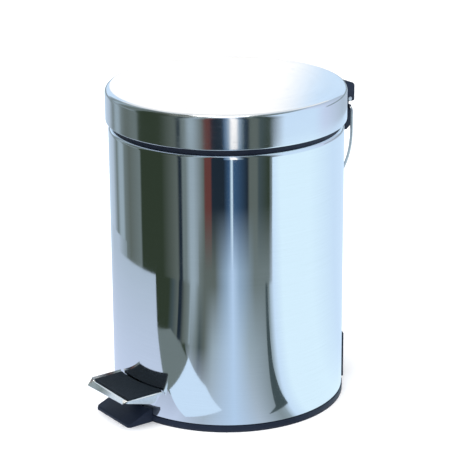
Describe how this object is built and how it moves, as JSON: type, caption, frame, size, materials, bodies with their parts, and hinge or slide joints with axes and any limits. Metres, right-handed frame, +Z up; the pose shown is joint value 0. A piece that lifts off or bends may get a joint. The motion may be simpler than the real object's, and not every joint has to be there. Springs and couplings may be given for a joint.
{
  "type": "pedal bin",
  "caption": "Round pedal bin with a polished steel body and hinged lid, rubber-topped foot pedal, rear push rod, carry handle and lift-out inner bucket.",
  "frame": {"origin": "on the bin's vertical axis, at the underside of the base where it stands on the floor", "axes": "+Z up; -Y towards the pedal, the side a user faces; +Y towards the lid's hinge and the carry handle; +X to the right when looking from the pedal side along +Y"},
  "size_m": [0.2096, 0.2615, 0.2863],
  "materials": {
    "polished_steel": "mirror-polished stainless sheet with fine scratches",
    "chrome_plate": "bright chrome plate",
    "zinc_steel": "zinc-plated, dull bright",
    "black_plastic": "fine moulded grain",
    "black_rubber": "matt",
    "bucket_plastic": "satin moulded"
  },
  "bodies": {
    "bin_body": {"body_shell": "polished_steel", "base_moulding": "black_plastic", "rubber_feet": "black_rubber", "collar_ring": "black_plastic", "lid_buffers": "black_rubber", "hinge_housing": "black_plastic", "housing_backing_plates": "zinc_steel", "housing_screws": "zinc_steel", "hinge_pin": "zinc_steel", "rear_cover": "black_plastic", "rear_cover_screws": "zinc_steel", "lever_pivot_pin": "zinc_steel"},
    "lid": {"lid_shell": "polished_steel", "lid_hinge_leaf": "black_plastic", "lid_backing_plate": "zinc_steel", "lid_hinge_screws": "zinc_steel", "lid_crank_arm": "zinc_steel"},
    "pedal": {"pedal_lever": "zinc_steel", "pedal_tray": "chrome_plate", "pedal_pad": "black_rubber", "tray_rivets": "zinc_steel"},
    "rod": {"push_rod": "chrome_plate", "rod_clips": "zinc_steel"},
    "carry_handle": {"carry_bail": "chrome_plate"},
    "inner_bucket": {"bucket": "bucket_plastic"},
    "bucket_handle": {"bucket_bail": "chrome_plate"}
  },
  "joints": [
    {"name": "lid_hinge", "type": "hinge", "parent": "bin_body", "child": "lid", "pos_m": [0, 0.1193, 0.2543], "axis": [-1, 0, 0], "range_deg": [0, 75]},
    {"name": "pedal_pivot", "type": "hinge", "parent": "bin_body", "child": "pedal", "pos_m": [0, -0.03, 0.012], "axis": [1, 0, 0], "range_deg": [0, 9.4]},
    {"name": "rod_slide", "type": "slide", "parent": "bin_body", "child": "rod", "axis": [0, 0, 1], "range_m": [0, 0.022]},
    {"name": "carry_swing", "type": "hinge", "parent": "bin_body", "child": "carry_handle", "pos_m": [0, 0.1195, 0.2465], "axis": [1, 0, 0], "range_deg": [-8, 135]},
    {"name": "bucket_lift", "type": "slide", "parent": "bin_body", "child": "inner_bucket", "axis": [0, 0, 1], "range_m": [0, 0.012]},
    {"name": "bucket_handle_swing", "type": "hinge", "parent": "inner_bucket", "child": "bucket_handle", "pos_m": [0, 0, 0.238], "axis": [-1, 0, 0], "range_deg": [0, 14]}
  ],
  "couplings": [
    {"joint": "pedal_pivot", "follows": "lid_hinge", "ratio": 0.1248},
    {"joint": "rod_slide", "follows": "lid_hinge", "m_per_rad": 0.016768}
  ]
}
